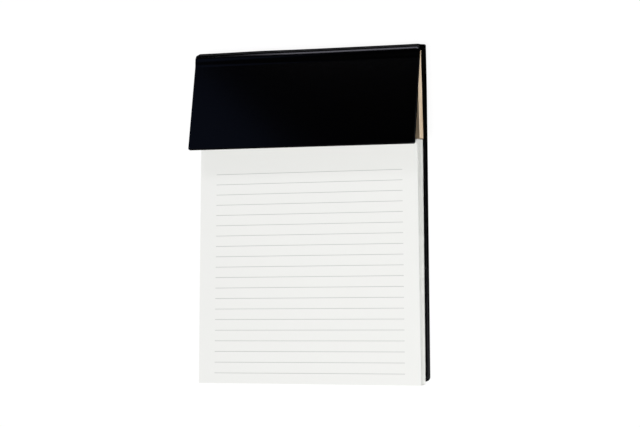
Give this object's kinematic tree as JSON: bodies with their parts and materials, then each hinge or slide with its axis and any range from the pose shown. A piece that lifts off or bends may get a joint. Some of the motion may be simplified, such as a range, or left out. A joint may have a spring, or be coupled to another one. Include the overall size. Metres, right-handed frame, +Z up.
{
  "type": "notepad",
  "caption": "Ruled notepad glued into a black leatherette cover with an upright spine and a short hinged flap over its head.",
  "frame": {"origin": "middle of the notepad's footprint on the table, at the underside of the back cover", "axes": "+X to the right of the page, +Y towards the spine at the head, +Z up out of the page"},
  "size_m": [0.152, 0.2148, 0.031],
  "materials": {
    "ruled_paper": "matte white paper",
    "tan_card": "matte tan card",
    "leatherette": "fine-grained, satin black",
    "greyboard": "raw pressed board",
    "lining_paper": "matte black paper"
  },
  "bodies": {
    "base": {"page_block": "ruled_paper", "note_block": "tan_card", "back_board": "greyboard", "spine_board": "greyboard", "back_lining": "lining_paper", "cover_wrap": "leatherette"},
    "flap": {"flap_board": "greyboard", "flap_lining": "lining_paper", "flap_wrap": "leatherette"}
  },
  "joints": [
    {"name": "flap_fold", "type": "hinge", "parent": "base", "child": "flap", "pos_m": [0, 0.10494, 0.0154], "axis": [-1, 0, 0], "range_deg": [-11.7, 165]}
  ]
}
